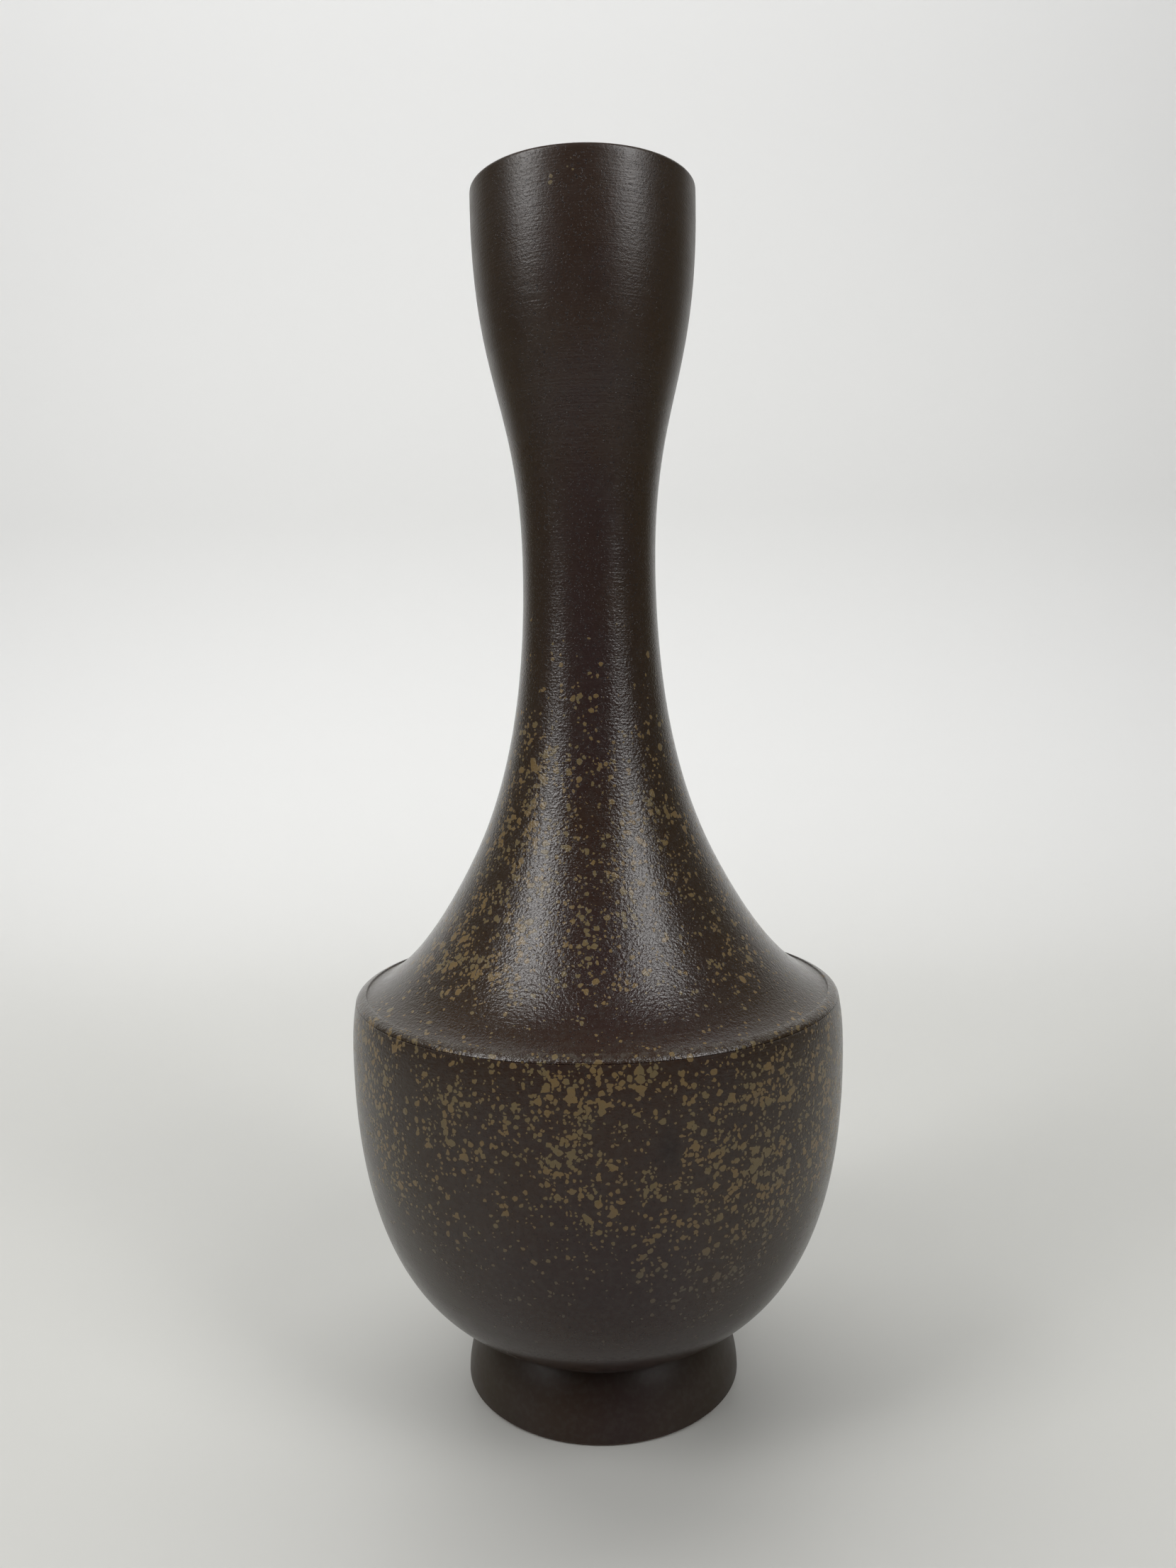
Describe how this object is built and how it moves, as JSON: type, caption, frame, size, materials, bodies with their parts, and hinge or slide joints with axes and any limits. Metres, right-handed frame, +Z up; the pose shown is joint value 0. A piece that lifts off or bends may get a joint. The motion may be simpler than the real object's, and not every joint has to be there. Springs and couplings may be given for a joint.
{
  "type": "bud vase",
  "caption": "Small stoneware bud vase with a flared foot, round bowl, beaded shoulder, slim neck and a tulip mouth with a thin lip.",
  "frame": {"origin": "centre of the foot ring's flat resting face", "axes": "+Z up along the axis of revolution, from the foot to the mouth; X and Y are equal, because every section is round"},
  "size_m": [0.101, 0.101, 0.242],
  "materials": {
    "stoneware_foot": "semi-matt dark brown stoneware",
    "stoneware_bowl": "semi-matt dark brown stoneware with olive speckles",
    "stoneware_shoulder": "semi-matt dark brown stoneware with olive speckles",
    "stoneware_neck": "semi-matt dark brown stoneware with sparse olive speckles",
    "stoneware_mouth": "satin dark brown stoneware with fine turning lines"
  },
  "bodies": {
    "root": {"foot_ring": "stoneware_foot", "bowl_body": "stoneware_bowl", "shoulder_flare": "stoneware_shoulder", "neck_tube": "stoneware_neck", "mouth_cup": "stoneware_mouth"}
  },
  "joints": []
}
